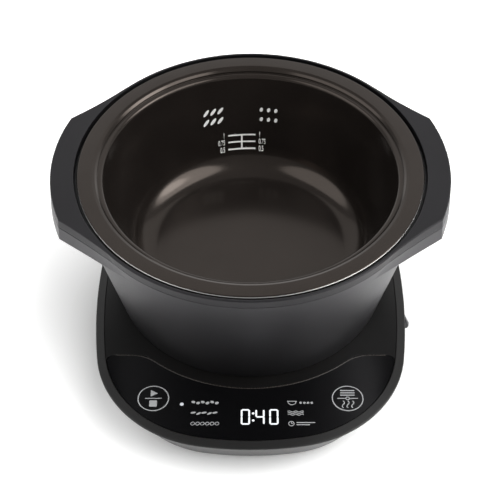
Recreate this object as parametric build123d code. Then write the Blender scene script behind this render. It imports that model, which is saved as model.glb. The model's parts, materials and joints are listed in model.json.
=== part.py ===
from build123d import *
import os
from math import acos, atan2, cos, degrees, hypot, radians, sin, sqrt, tan

os.makedirs("parts", exist_ok=True)

# Rice cooker: an inner pot in a lift-off housing with two lug handles, on a heater base with a touch panel.
# Sizes are millimetres. The pot's axis is X = Y = 0 while the pieces are made, and the front is -Y.

# Fits
loose_gap = 0.3
snug_gap = 0.05
running_gap = 0.08

# Inner pot
flange_r = 100.0
flange_width = 11.5
flange_t = 2.2
flange_edge = 0.9
flange_inner_edge = 2.6
ledge_drop = 3.0
ledge_step = 0.15
ledge_width = 3.14
ledge_crease = 0.3
ledge_roll = 1.8
ledge_edge = 0.8
pot_depth = 66.5
pot_floor_r = 71.8
pot_cove_r = 18.5
pot_wall = 2.0
pot_floor_t = 3.0
flange_above_deck = 91.0

# Housing, handle ring and lugs
ring_gap = 1.7
ring_lip = 1.7
ring_rise = 0.3
ring_h = 6.1
ring_draft = 8.6
ring_edge = 0.5
parting_edge = 0.4
seat_width = 8.0
seat_t = 1.8
gasket_inset = 1.0
handle_reach = 11.6
handle_splay = 3.0
handle_half_angle = 21.7
handle_flare_r = 300.0
handle_root_r = 1500.0
handle_flare_bite = 0.2
handle_h = 15.3
handle_floor_t = 2.5
pocket_wall = 2.4
pocket_half_angle = 16.0
draft = 14.0
housing_wall = 2.4
housing_lip_t = 2.0
housing_lip_width = 6.0
foot_ring_t = 1.8
liner_gap = 1.5
liner_t = 0.8
handle_screw_angle = 11.0
handle_screw_boss_r = 2.9
handle_screw_r = 1.4
handle_screw_head_r = 2.5
handle_screw_head_t = 1.8
handle_screw_bite = 4.0

# Base outline: the deck's reach past the housing's foot, and the bowed sides and ends joined by corner arcs
deck_side = 7.36
deck_front = 45.46
deck_rear = 8.86
side_bow_r = 370.0
end_bow_r = 181.0
corner_r = 73.0

# Base heights and walls
foot_h = 5.0
pan_h = 24.0
pan_draft = 28.0
pan_wall = 2.5
pan_edge = 2.0
rim_h = 7.0
rim_w = 5.3
rim_rise = 0.3
rim_slope = 0.3
rim_round = 0.7
rim_fall = 1.1
rim_lip = 0.9
rim_overhang = 0.8
cover_wall = 2.5
deck_t = 3.0

# Feet and cover screws
foot_r = 9.0
foot_recess = 1.0
foot_edge = 1.0
foot_side_in = 38.0
foot_end_in = 47.0
cover_boss_r = 4.5
cover_boss_side_in = 22.0
cover_boss_spread = 39.0
cover_boss_end_in = 25.4
cover_boss_rear_x = 36.0
cover_boss_h = 12.0
cover_screw_r = 1.6
cover_screw_head_r = 3.0
cover_screw_head_t = 2.2
cover_screw_sink = 3.5
cover_screw_bite = 9.0

# Control panel and what is under it
panel_t = 1.6
panel_gap = 0.25
panel_housing_gap = 8.6
panel_rear_in = 24.7
panel_corner_r = 4.0
touch_side_in = 38.0
touch_front_in = 35.0
touch_pad_r = 7.0
display_x = 1.5
display_front_in = 21.8
display_w = 32.0
display_d = 14.5
display_h = 7.2
led_touch_gap = 16.5
led_front_in = 30.8
led_pitch = 7.4
led_rows = 3
led_r = 1.5
board_t = 1.6
control_side_in = 29.9
control_mid_side = 4.6
control_front_in = 13.0
control_mid_d = 12.0
control_side_d = 22.5
control_boss_r = 2.8
control_screw_inset = 3.4
control_wall_gap = 1.0
board_screw_r = 1.2
board_screw_head_r = 2.4
board_screw_head_t = 1.6
board_screw_bite = 3.4

# Pedestal and heater
plate_r = 55.0
plate_t = 8.0
plate_hole_r = 15.5
plate_edge = 1.5
seal_w = 2.5
seal_h = 4.0
pedestal_drop = 5.0
pedestal_wall = 2.5
pedestal_spread = 0.29
pedestal_edge = 1.0
element_ring_r = 39.0
element_tube_r = 3.5
element_sink = 1.0
element_gap_angle = 28.0
element_leg_h = 18.0
post_ring_r = 49.0
post_count = 3
post_r = 3.0
post_foot_r = 4.5
post_spigot_r = 2.0
post_spigot_h = 4.0
post_boss_r = 6.0
post_boss_h = 6.0
post_screw_head_t = 2.6
post_screw_head_r = 3.6
post_screw_bite = 10.0
reflector_drop = 12.0
reflector_t = 0.8
reflector_edge = 1.5
reflector_lip_h = 3.0

# Pot sensor under the middle of the plate
sensor_cap_r = 13.0
sensor_cap_h = 7.0
sensor_cap_edge = 0.8
sensor_stem_r = 5.0
sensor_travel = 3.0
guide_wall = 1.6
guide_depth = 17.0
guide_flange_w = 5.0
guide_flange_t = 1.6
clip_t = 1.2
clip_r = 7.5
clip_groove = 0.8
spring_wire_r = 0.6
spring_r = 8.5
spring_turns = 6
fuse_r = 2.2
fuse_len = 14.0
fuse_ring_r = 28.0
fuse_clip_len = 8.0
fuse_clip_wall = 1.5

# Power board and what stands on it
power_half_w = 44.0
power_front_y = -14.0
power_rear_y = 38.0
power_stand_h = 5.0
power_stand_r = 3.0
power_screw_inset = 4.0
relay_size = (19.0, 15.0, 15.0)
relay_at = (-28.0, 20.0)
transformer_size = (22.0, 18.0, 16.0)
transformer_at = (24.0, 19.0)
transformer_core_w = 8.0
transformer_core_out = 2.0
film_size = (17.0, 8.0, 14.0)
film_at = (-4.0, 24.0)
bulk_r = 6.5
bulk_h = 16.0
bulk_at = (22.0, 0.0)
buzzer_r = 6.0
buzzer_h = 7.0
buzzer_port_r = 1.0
buzzer_at = (-34.0, 4.0)
connector_size = (10.0, 6.0, 8.0)
connector_inset = 1.0
ribbon_x = -30.0
heater_plug_x = 9.0
neutral_plug_x = -18.0
live_plug_y = 8.0

# Mains inlet at the rear
inlet_boss_half_w = 27.0
inlet_face_in = 3.2
inlet_flange_w = 48.0
inlet_flange_h = 21.6
inlet_flange_t = 2.5
inlet_flange_round = 3.0
inlet_body_w = 27.0
inlet_body_h = 19.6
inlet_body_depth = 19.0
inlet_well_w = 24.0
inlet_well_h = 16.0
inlet_well_depth = 17.0
inlet_well_round = 3.0
inlet_z = 17.0
pin_w = 2.0
pin_h = 4.0
pin_spread = 7.0
pin_offset = 2.0
pin_reach = 14.0
pin_tail = 7.0
inlet_screw_x = 20.0
inlet_screw_r = 1.5
inlet_screw_head_r = 2.7
inlet_screw_head_t = 1.8
inlet_screw_len = 8.0

# Mains switch on the right side
switch_y = -23.6
switch_z = 21.0
switch_face_in = 1.5
switch_bezel_len = 18.4
switch_bezel_h = 9.5
switch_bezel_t = 1.5
switch_bezel_edge = 0.5
switch_body_len = 16.8
switch_body_h = 7.3
switch_body_depth = 15.0
switch_wall = 0.7
switch_boss_wall = 2.0
rocker_pivot_in = 1.9
rocker_half_len = 7.0
rocker_end_rise = 6.1
rocker_dip = 1.2
rocker_under = 4.5
rocker_nose_half = 3.4
rocker_shoulder_in = 1.0
rocker_tilt = 11.0
rocker_tip_round = 0.9
rocker_dip_round = 6.0
rocker_crown = 1.6
rocker_pin_r = 1.2
rocker_side_gap = 0.35
switch_tab_w = 4.0
switch_tab_t = 0.8
switch_tab_len = 7.0
switch_tab_spread = 4.0

# Leads inside the base
lead_r = 1.2
lead_bend_r = 5.0
run_share = 0.45
ribbon_w = 9.0
ribbon_t = 0.6
ribbon_bend_r = 8.0

# Levels and radii that follow from the sizes above
split_z = foot_h + pan_h
deck_z = split_z + rim_h
deck_under_z = deck_z - deck_t
rim_z = deck_z + rim_rise
rim_lip_z = rim_z - rim_fall
rim_edge_z = rim_lip_z - rim_lip
pan_floor_z = foot_h + pan_wall
flange_z = deck_z + flange_above_deck
ledge_z = flange_z - ledge_drop
pot_floor_z = flange_z - pot_depth
plate_z = pot_floor_z - pot_floor_t
plate_under_z = plate_z - plate_t
reflector_z = plate_under_z - reflector_drop
ring_z = flange_z + ring_rise
ring_r = flange_r + ring_gap + ring_lip
ring_split_z = ring_z - ring_h
seat_z = ring_split_z + seat_t
handle_under_z = ring_z - handle_h
panel_under_z = deck_z - panel_t
control_top_z = panel_under_z - display_h
control_under_z = control_top_z - board_t
power_under_z = pan_floor_z + power_stand_h
power_top_z = power_under_z + board_t
split_r = ring_r - ring_h * tan(radians(ring_draft))
housing_deck_r = split_r - (ring_split_z - deck_z) * tan(radians(draft))
base_half_w = housing_deck_r + deck_side + rim_w
base_rear_y = housing_deck_r + deck_rear + rim_w
base_front_y = -housing_deck_r - deck_front - rim_w
base_half_d = (base_rear_y - base_front_y) / 2
base_mid_y = (base_rear_y + base_front_y) / 2
panel_arc_r = housing_deck_r + panel_housing_gap
panel_rear_y = panel_rear_in - panel_arc_r
inlet_face_y = base_rear_y - inlet_face_in
touch_x = base_half_w - touch_side_in
touch_y = base_front_y + touch_front_in
display_y = base_front_y + display_front_in
led_y = base_front_y + led_front_in
led_x = touch_x - led_touch_gap
control_half_w = base_half_w - control_side_in
control_mid_half_w = led_x + control_mid_side
control_front_screw_x = (led_x + display_x + display_w / 2) / 2
control_front_y = base_front_y + control_front_in
control_side_y = control_front_y + control_mid_d
control_rear_y = control_side_y + control_side_d
switch_face_x = base_half_w - switch_face_in
guide_r = plate_hole_r + guide_wall
guide_floor_z = plate_under_z - guide_depth
flange_in_r = flange_r - flange_width
ledge_out_r = flange_in_r - ledge_step
ledge_in_r = ledge_out_r - ledge_width

# The finished pieces move back by this much, so that the origin is under the middle of the whole object
ring_reach = ring_r - ring_edge * tan(radians(ring_draft))
pot_y = (-base_front_y - ring_reach) / 2


# Helpers
def polar(r, angle):
    return (r * cos(radians(angle)), r * sin(radians(angle)))


def turned(points):
    # a closed outline of (radius, height, corner rounding), turned round the pot's axis
    corners = [(r, z) for r, z, rounding in points]
    roundings = [rounding for r, z, rounding in points]
    outline = FilletPolyline(*corners, radius=roundings, close=True)
    return revolve(Plane.XZ * make_face(outline), Axis.Z)


def pillar(r, z0, z1, at=(0, 0)):
    return Pos(at[0], at[1], z0) * Cylinder(r, z1 - z0, align=(Align.CENTER, Align.CENTER, Align.MIN))


def hoop(r_in, r_out, z0, z1):
    return pillar(r_out, z0, z1) - pillar(r_in, z0, z1)


def block(x, y, z0, size):
    return Pos(x, y, z0) * Box(*size, align=(Align.CENTER, Align.CENTER, Align.MIN))


def span(x0, x1, y0, y1, z0, z1):
    return Pos((x0 + x1) / 2, (y0 + y1) / 2, (z0 + z1) / 2) * Box(x1 - x0, y1 - y0, z1 - z0)


def screw(at, z_head, head_r, head_t, shank_r, length):
    # a pan-head screw that points up, its head's outer face at z_head
    head = pillar(head_r, z_head, z_head + head_t, at)
    return head + pillar(shank_r, z_head + head_t, z_head + head_t + length, at)


def screw_down(at, z_seat, head_r, head_t, shank_r, length):
    return pillar(head_r, z_seat, z_seat + head_t, at) + pillar(shank_r, z_seat - length, z_seat, at)


def bends(points, radius):
    # the bend at each corner of a route, no larger than its shorter run leaves room for
    radii = []
    for before, corner, after in zip(points, points[1:], points[2:]):
        run_in = Vector(corner) - Vector(before)
        run_out = Vector(after) - Vector(corner)
        room = run_share * min(run_in.length, run_out.length)
        radii.append(min(radius, room / tan(radians(run_in.get_angle(run_out)) / 2)))
    return radii


def lead(points):
    path = FilletPolyline(*points, radius=bends(points, lead_bend_r))
    start = Plane(origin=path @ 0, z_dir=path % 0)
    return sweep(start * Circle(lead_r), path=path)


def mirrored(points):
    return [(side * x, y) for x, y in points for side in (1, -1)]


def save(name, *pieces):
    solids = [Pos(0, pot_y, 0) * solid for piece in pieces for solid in piece.solids()]
    export_step(solids[0] if len(solids) == 1 else Compound(solids), f"parts/{name}.step")


# Outline of the base, drawn in by an inset
def base_face(inset, z):
    side_cx = base_half_w - side_bow_r
    end_cy = end_bow_r - base_half_d
    side_reach = side_bow_r - corner_r
    end_reach = end_bow_r - corner_r
    apart = hypot(side_cx, end_cy)
    along = (side_reach ** 2 - end_reach ** 2 + apart ** 2) / (2 * apart)
    across = sqrt(side_reach ** 2 - along ** 2)
    corner_x = side_cx + (-along * side_cx + across * end_cy) / apart
    corner_y = (along * end_cy + across * side_cx) / apart
    side_a = degrees(atan2(corner_y, corner_x - side_cx))
    end_a = degrees(atan2(corner_y - end_cy, corner_x))
    turn = side_a - end_a
    arcs = []
    for half in (0, 180):
        flip = 1 if half == 0 else -1
        arcs.append(CenterArc((flip * side_cx, 0), side_bow_r - inset, half + side_a, -2 * side_a))
        arcs.append(CenterArc((flip * corner_x, -flip * corner_y), corner_r - inset, half - side_a, turn))
        arcs.append(CenterArc((0, -flip * end_cy), end_bow_r - inset, half - end_a, 180 + 2 * end_a))
        arcs.append(CenterArc((-flip * corner_x, -flip * corner_y), corner_r - inset, half + 180 + end_a, turn))
    return Pos(0, base_mid_y, z) * make_face(arcs)


def pan_inset(z):
    return rim_overhang + (rim_edge_z - z) * tan(radians(pan_draft))


# Outline of the ring with its two lugs at a height: the band follows the housing and the lugs splay out
def corner_angle(side_a, side_b, opposite):
    return degrees(acos((side_a ** 2 + side_b ** 2 - opposite ** 2) / (2 * side_a * side_b)))


def housing_r(z):
    return split_r - (ring_split_z - z) * tan(radians(draft))


def handle_face(z, band_r):
    share = (ring_z - z) / handle_h
    lug_r = ring_r + handle_reach + (ring_z - z) * tan(radians(handle_splay))
    flare_r = 1 / ((1 - share) / handle_flare_r + share / handle_root_r)
    flare_c = band_r + flare_r - handle_flare_bite
    flare_a = handle_half_angle + corner_angle(flare_c, lug_r, flare_r)
    root_a = flare_a - corner_angle(flare_c, band_r, flare_r)
    arcs = []
    for half in (0, 180):
        arcs.append(CenterArc((0, 0), lug_r, half - handle_half_angle, 2 * handle_half_angle))
        for side in (1, -1):
            centre = polar(flare_c, half + side * flare_a)
            root = polar(band_r, half + side * root_a)
            tip = polar(lug_r, half + side * handle_half_angle)
            start = degrees(atan2(root[1] - centre[1], root[0] - centre[0]))
            end = degrees(atan2(tip[1] - centre[1], tip[0] - centre[0]))
            arcs.append(CenterArc(centre, flare_r, start, (end - start + 180) % 360 - 180))
        arcs.append(CenterArc((0, 0), band_r, half + root_a, 180 - 2 * root_a))
    return Pos(0, 0, z) * make_face(arcs)


# Inner pot: flange, lid ledge, tapered wall, cove and flat floor
def inner_pot():
    slope = (ledge_in_r - pot_floor_r) / (ledge_z - pot_floor_z)
    skew_wall = pot_wall * sqrt(1 + slope ** 2)
    ledge_under_z = ledge_z - pot_wall
    neck_r = ledge_in_r - pot_wall * slope + skew_wall
    heel_r = pot_floor_r - pot_floor_t * slope + skew_wall
    return turned([
        (0, pot_floor_z, 0),
        (pot_floor_r, pot_floor_z, pot_cove_r),
        (ledge_in_r, ledge_z, ledge_roll),
        (ledge_out_r, ledge_z, ledge_crease),
        (flange_in_r, flange_z, flange_inner_edge),
        (flange_r, flange_z, flange_edge),
        (flange_r, flange_z - flange_t, flange_edge),
        (flange_in_r + pot_wall, flange_z - flange_t, ledge_edge),
        (ledge_out_r + pot_wall, ledge_under_z, ledge_edge),
        (neck_r, ledge_under_z, ledge_edge),
        (heel_r, plate_z, pot_cove_r + pot_wall),
        (0, plate_z, 0),
    ])


# Handle ring: a lip round the flange, a seat under it, and the upper halves of the lugs
def handle_screw_places():
    lug_mid_r = ring_r + handle_reach / 2
    return [polar(lug_mid_r, half + turn)
            for half in (0, 180) for turn in (handle_screw_angle, -handle_screw_angle)]


def handle_ring():
    ring = loft([handle_face(ring_split_z, split_r), handle_face(ring_z, ring_r)], ruled=True)
    ring = chamfer(ring.faces().sort_by(Axis.Z)[-1].edges(), ring_edge)
    ring = chamfer(ring.faces().sort_by(Axis.Z)[0].edges(), parting_edge)
    ring -= pillar(flange_r - seat_width, ring_split_z, ring_z)
    ring -= pillar(flange_r + ring_gap, seat_z, ring_z)
    for at in handle_screw_places():
        ring -= pillar(handle_screw_r, ring_split_z, ring_split_z + handle_screw_bite, at)
    return ring


def pot_gasket():
    gasket_z = flange_z - flange_t - loose_gap
    return hoop(flange_r - seat_width + gasket_inset, flange_r + ring_gap - gasket_inset, seat_z, gasket_z)


# Pot housing: drafted cone, hollow lower lugs with screw bosses, and a lip at the bottom
housing_foot_z = deck_z + foot_ring_t
housing_floor_z = housing_foot_z + housing_lip_t
housing_skew_wall = housing_wall / cos(radians(draft))


housing_lip_r = housing_r(housing_floor_z) - housing_skew_wall - housing_lip_width


def lug_pocket(half):
    z0 = handle_under_z + handle_floor_t
    r_out = ring_r + handle_reach - pocket_wall
    section = make_face(Polyline((ring_r, z0), (r_out, z0), (r_out, ring_split_z), (ring_r, ring_split_z), close=True))
    pocket = revolve(Plane.XZ * section, Axis.Z, 2 * pocket_half_angle)
    return Rot(0, 0, half - pocket_half_angle) * pocket


def pot_housing():
    lugs = loft([handle_face(handle_under_z, housing_r(handle_under_z)),
                 handle_face(ring_split_z, split_r)], ruled=True)
    lugs = chamfer(lugs.faces().sort_by(Axis.Z)[-1].edges(), parting_edge)
    housing = lugs + turned([(0, deck_z + loose_gap, 0), (housing_r(deck_z + loose_gap), deck_z + loose_gap, 0),
                             (housing_r(handle_under_z), handle_under_z, 0), (0, handle_under_z, 0)])
    for half in (0, 180):
        housing -= lug_pocket(half)
    for at in handle_screw_places():
        housing += pillar(handle_screw_boss_r, handle_under_z, ring_split_z, at)
    housing -= turned([(0, housing_floor_z, 0),
                       (housing_r(housing_floor_z) - housing_skew_wall, housing_floor_z, 0),
                       (housing_r(ring_split_z) - housing_skew_wall, ring_split_z, 0), (0, ring_split_z, 0)])
    housing -= pillar(housing_lip_r, deck_z, housing_floor_z)
    housing -= pillar(housing_r(housing_foot_z) - housing_skew_wall, deck_z, housing_foot_z)
    for at in handle_screw_places():
        housing -= pillar(handle_screw_r + loose_gap, handle_under_z, ring_split_z, at)
        housing -= pillar(handle_screw_head_r + loose_gap, handle_under_z,
                          handle_under_z + handle_screw_head_t, at)
    return housing


def handle_screws():
    length = ring_split_z + handle_screw_bite - handle_under_z - handle_screw_head_t - loose_gap
    return [screw(at, handle_under_z, handle_screw_head_r, handle_screw_head_t,
                  handle_screw_r - snug_gap, length) for at in handle_screw_places()]


def foot_ring():
    return hoop(housing_lip_r, housing_r(housing_foot_z) - housing_skew_wall - snug_gap, deck_z, housing_foot_z)


def heat_liner():
    inner = housing_skew_wall + liner_gap
    top_z = ring_split_z - snug_gap
    low_r = housing_r(housing_floor_z) - inner
    high_r = housing_r(top_z) - inner
    brim_r = high_r + liner_gap - snug_gap
    liner_lean = liner_t * tan(radians(draft))
    return turned([(low_r - liner_t, housing_floor_z, 0), (low_r, housing_floor_z, 0),
                   (high_r - liner_lean, top_z - liner_t, 0),
                   (brim_r - liner_lean, top_z - liner_t, 0), (brim_r, top_z, 0),
                   (high_r - liner_t, top_z, 0)])


# Places that the two base covers share
cover_bosses = mirrored([
    (base_half_w - cover_boss_side_in, base_mid_y - cover_boss_spread),
    (base_half_w - cover_boss_side_in, base_mid_y + cover_boss_spread),
    (cover_boss_rear_x, base_rear_y - cover_boss_end_in),
])
foot_places = mirrored([(base_half_w - foot_side_in, base_mid_y + end * (base_half_d - foot_end_in))
                        for end in (1, -1)])
post_places = [polar(post_ring_r, 90 + 360 * i / post_count) for i in range(post_count)]
power_screw_places = mirrored([(power_half_w - power_screw_inset, power_front_y + power_screw_inset),
                               (power_half_w - power_screw_inset, power_rear_y - power_screw_inset)])
control_screw_places = mirrored([(control_half_w - control_screw_inset, control_rear_y - control_screw_inset),
                                 (control_front_screw_x, control_front_y + control_screw_inset)])
led_places = mirrored([(led_x, led_y - row * led_pitch) for row in range(led_rows)])
touch_places = mirrored([(touch_x, touch_y)])
cover_boss_z = pan_floor_z + cover_boss_h
pedestal_z = plate_z - pedestal_drop
pedestal_bore_r = plate_r + seal_w
pedestal_foot_r = pedestal_bore_r + pedestal_spread * (housing_lip_r - pedestal_bore_r - pedestal_wall)


# Control panel: it follows the rim in front and the housing behind
def panel_face(inset):
    # cut small by the corner radius and grown again, which rounds its outer corners
    face = base_face(rim_w + inset + panel_corner_r, 0)
    rear = panel_rear_y - inset - panel_corner_r
    face -= Pos(0, rear + base_half_d) * Rectangle(2 * base_half_w, 2 * base_half_d)
    face -= Circle(panel_arc_r + inset + panel_corner_r)
    return offset(face, panel_corner_r)


def control_panel():
    return Pos(0, 0, panel_under_z) * extrude(panel_face(panel_gap), panel_t)


# Base top cover: rim, deck, panel recess, heater pedestal and screw bosses
def base_top_cover():
    cover = extrude(base_face(0, rim_edge_z), rim_lip)
    cover += loft([base_face(0, rim_lip_z), base_face(rim_w - rim_slope, rim_z)], ruled=True)
    cover = fillet(cover.edges().filter_by_position(Axis.Z, rim_lip_z - snug_gap, rim_lip_z + snug_gap), rim_round)
    cover += loft([base_face(pan_inset(split_z), split_z), base_face(rim_overhang, rim_edge_z)], ruled=True)
    cover -= loft([base_face(rim_w, deck_z), base_face(rim_w - rim_slope, rim_z)], ruled=True)
    cover -= extrude(base_face(pan_inset(split_z) + cover_wall, split_z), deck_under_z - split_z)
    cover += turned([(pedestal_foot_r, deck_under_z, 0), (pedestal_foot_r + pedestal_wall, deck_under_z, 0),
                     (pedestal_foot_r + pedestal_wall, deck_z, 0),
                     (pedestal_bore_r + pedestal_wall, pedestal_z, pedestal_edge),
                     (pedestal_bore_r, pedestal_z, 0), (pedestal_foot_r, deck_z, 0)])
    cover -= pillar(pedestal_foot_r, deck_under_z, deck_z)
    cover -= Pos(0, 0, panel_under_z) * extrude(panel_face(0), panel_t)
    for at in cover_bosses:
        cover += pillar(cover_boss_r, cover_boss_z, deck_under_z, at)
    for at in control_screw_places:
        cover += pillar(control_boss_r, control_top_z, deck_under_z, at)
    for at in cover_bosses:
        cover -= pillar(cover_screw_r, cover_boss_z, cover_boss_z + cover_screw_bite, at)
    for at in control_screw_places:
        cover -= pillar(board_screw_r, control_top_z, control_top_z + board_screw_bite, at)
    for at in led_places:
        cover -= pillar(led_r + loose_gap, deck_under_z, panel_under_z, at)
    for at in touch_places:
        cover -= pillar(touch_pad_r + loose_gap, deck_under_z, panel_under_z, at)
    cover -= block(display_x, display_y, deck_under_z,
                   (display_w + 2 * loose_gap, display_d + 2 * loose_gap, panel_under_z - deck_under_z))
    return cover


# Base bottom cover: tucked-under pan with an inlet boss, a switch boss, posts and stand-offs
def base_bottom_cover():
    skew_wall = pan_wall / cos(radians(pan_draft))
    edge_z = foot_h + pan_edge
    inlet_low_z = inlet_z - inlet_flange_h / 2
    switch_half = switch_bezel_len / 2 + switch_boss_wall
    switch_low_z = switch_z - switch_bezel_h / 2 - switch_boss_wall
    pan = loft([base_face(pan_inset(edge_z) + pan_edge, foot_h), base_face(pan_inset(edge_z), edge_z),
                base_face(pan_inset(split_z), split_z)], ruled=True)
    pan += span(-inlet_boss_half_w, inlet_boss_half_w, 0, inlet_face_y, inlet_low_z, split_z)
    pan += span(0, switch_face_x, switch_y - switch_half, switch_y + switch_half, switch_low_z, split_z)
    pan -= loft([base_face(pan_inset(pan_floor_z) + skew_wall, pan_floor_z),
                 base_face(pan_inset(split_z) + skew_wall, split_z)], ruled=True)
    pan -= span(-inlet_boss_half_w + pan_wall, inlet_boss_half_w - pan_wall, 0, inlet_face_y - pan_wall,
                pan_floor_z, split_z)
    pan -= span(0, switch_face_x - switch_boss_wall, switch_y - switch_half + switch_boss_wall,
                switch_y + switch_half - switch_boss_wall, switch_low_z + switch_boss_wall, split_z)
    pan -= span(-inlet_boss_half_w, inlet_boss_half_w, inlet_face_y, base_rear_y, inlet_low_z, split_z)
    pan -= span(switch_face_x, base_half_w, switch_y - switch_half, switch_y + switch_half, switch_low_z, split_z)
    for at in cover_bosses:
        pan += pillar(cover_boss_r, pan_floor_z, cover_boss_z, at)
        pan -= pillar(cover_screw_r + loose_gap, foot_h, cover_boss_z, at)
        pan -= pillar(cover_screw_head_r + loose_gap, foot_h, foot_h + cover_screw_sink + cover_screw_head_t, at)
    for at in post_places:
        pan += pillar(post_boss_r, pan_floor_z, pan_floor_z + post_boss_h, at)
        pan -= pillar(post_spigot_r + loose_gap, foot_h, pan_floor_z + post_boss_h, at)
        pan -= pillar(post_screw_head_r + loose_gap, foot_h, pan_floor_z + post_screw_head_t, at)
    for at in power_screw_places:
        pan += pillar(power_stand_r, pan_floor_z, power_under_z, at)
        pan -= pillar(board_screw_r, power_under_z - board_screw_bite, power_under_z, at)
    for at in foot_places:
        pan -= pillar(foot_r + snug_gap, foot_h, foot_h + foot_recess, at)
    pan -= span(-inlet_body_w / 2 - snug_gap, inlet_body_w / 2 + snug_gap, 0, inlet_face_y,
                inlet_z - inlet_body_h / 2 - snug_gap, inlet_z + inlet_body_h / 2 + snug_gap)
    for side in (1, -1):
        hole = Pos(side * inlet_screw_x, inlet_face_y, inlet_z) * Rot(90, 0, 0)
        pan -= hole * Cylinder(inlet_screw_r, 2 * pan_wall)
    pan -= span(0, switch_face_x, switch_y - switch_body_len / 2 - snug_gap,
                switch_y + switch_body_len / 2 + snug_gap, switch_z - switch_body_h / 2 - snug_gap,
                switch_z + switch_body_h / 2 + snug_gap)
    return pan


def cover_screws():
    head_z = foot_h + cover_screw_sink
    length = cover_boss_z + cover_screw_bite - head_z - cover_screw_head_t - loose_gap
    return [screw(at, head_z, cover_screw_head_r, cover_screw_head_t, cover_screw_r - snug_gap, length)
            for at in cover_bosses]


def rubber_feet():
    foot = pillar(foot_r, 0, foot_h + foot_recess)
    foot = fillet(foot.faces().sort_by(Axis.Z)[0].edges(), foot_edge)
    return [Pos(x, y, 0) * foot for x, y in foot_places]


# Heater: plate, element in its groove, seal, posts and reflector
element_z = plate_under_z + element_sink
element_start = -90 + element_gap_angle / 2
element_arc = 360 - element_gap_angle
element_ends = [polar(element_ring_r, element_start), polar(element_ring_r, -90 - element_gap_angle / 2)]
element_tip_z = element_z - element_leg_h


def element_form(tube_r, tip_z):
    ring = revolve(Plane.XZ * Pos(element_ring_r, element_z) * Circle(tube_r), Axis.Z, element_arc)
    form = Rot(0, 0, element_start) * ring
    for at in element_ends:
        form += Pos(at[0], at[1], element_z) * Sphere(tube_r)
        form += pillar(tube_r, tip_z, element_z, at)
    return form


def heating_plate():
    plate = turned([(plate_hole_r, plate_under_z, 0), (plate_r, plate_under_z, 0), (plate_r, plate_z, plate_edge),
                    (plate_hole_r, plate_z, plate_edge)])
    plate -= element_form(element_tube_r + snug_gap, plate_under_z)
    for at in post_places:
        plate -= pillar(post_spigot_r + snug_gap, plate_under_z, plate_under_z + post_spigot_h, at)
    return plate


def heating_element():
    return element_form(element_tube_r, element_tip_z)


def plate_seal():
    return hoop(plate_r + snug_gap, pedestal_bore_r - snug_gap, pedestal_z - seal_h, pedestal_z)


def heater_posts():
    low_z = pan_floor_z + post_boss_h
    posts = []
    for at in post_places:
        post = pillar(post_foot_r, low_z, reflector_z, at) + pillar(post_r, reflector_z, plate_under_z, at)
        post += pillar(post_spigot_r, plate_under_z, plate_under_z + post_spigot_h - loose_gap, at)
        posts.append(post - pillar(post_spigot_r, low_z, low_z + post_screw_bite, at))
    return posts


def heater_screws():
    length = post_boss_h - post_screw_head_t + post_screw_bite - loose_gap
    return [screw(at, pan_floor_z, post_screw_head_r, post_screw_head_t, post_spigot_r - snug_gap, length)
            for at in post_places]


def heat_reflector():
    reach = post_ring_r + post_foot_r
    dish = pillar(reach, reflector_z, reflector_z + reflector_t)
    dish += hoop(reach - reflector_t, reach, reflector_z, reflector_z + reflector_lip_h)
    dish -= pillar(guide_r + reflector_edge, reflector_z, reflector_z + reflector_t)
    for at in post_places:
        dish -= pillar(post_r + snug_gap, reflector_z, reflector_z + reflector_t, at)
    for at in element_ends:
        dish -= pillar(element_tube_r + reflector_edge, reflector_z, reflector_z + reflector_t, at)
    return dish


# Pot sensor: sprung plunger through the plate, in a guide cup under it
sensor_under_z = plate_z - sensor_cap_h
clip_z = guide_floor_z - guide_wall - sensor_travel - clip_t
stem_tip_z = clip_z - clip_t


def sensor_plunger():
    plunger = turned([(0, stem_tip_z, 0), (sensor_stem_r, stem_tip_z, 0), (sensor_stem_r, sensor_under_z, 0),
                      (sensor_cap_r, sensor_under_z, 0), (sensor_cap_r, plate_z, sensor_cap_edge), (0, plate_z, 0)])
    return plunger - hoop(sensor_stem_r - clip_groove, clip_r, clip_z, clip_z + clip_t)


def sensor_clip():
    return hoop(sensor_stem_r - clip_groove + snug_gap, clip_r, clip_z, clip_z + clip_t)


def sensor_guide():
    bore = sensor_stem_r + running_gap
    low_z = guide_floor_z - guide_wall
    return turned([(bore, low_z, 0), (guide_r, low_z, 0), (guide_r, plate_under_z - guide_flange_t, 0),
                   (guide_r + guide_flange_w, plate_under_z - guide_flange_t, 0),
                   (guide_r + guide_flange_w, plate_under_z, 0), (plate_hole_r, plate_under_z, 0),
                   (plate_hole_r, guide_floor_z, 0), (bore, guide_floor_z, 0)])


def sensor_spring():
    low_z = guide_floor_z + spring_wire_r + snug_gap
    rise = sensor_under_z - spring_wire_r - snug_gap - low_z
    path = Helix(rise / spring_turns, rise, spring_r)
    start = Plane(origin=path @ 0, z_dir=path % 0)
    return Pos(0, 0, low_z) * sweep(start * Circle(spring_wire_r), path=path, is_frenet=True)


fuse_z = plate_under_z - fuse_clip_wall - fuse_r


def thermal_fuse():
    return Pos(fuse_ring_r, 0, fuse_z) * Rot(90, 0, 0) * Cylinder(fuse_r, fuse_len)


def fuse_clip():
    half = fuse_r + fuse_clip_wall
    clip = span(fuse_ring_r - half, fuse_ring_r + half, -fuse_clip_len / 2, fuse_clip_len / 2,
                fuse_z - half, plate_under_z)
    return clip - Pos(fuse_ring_r, 0, fuse_z) * Rot(90, 0, 0) * Cylinder(fuse_r + snug_gap, fuse_clip_len)


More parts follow.
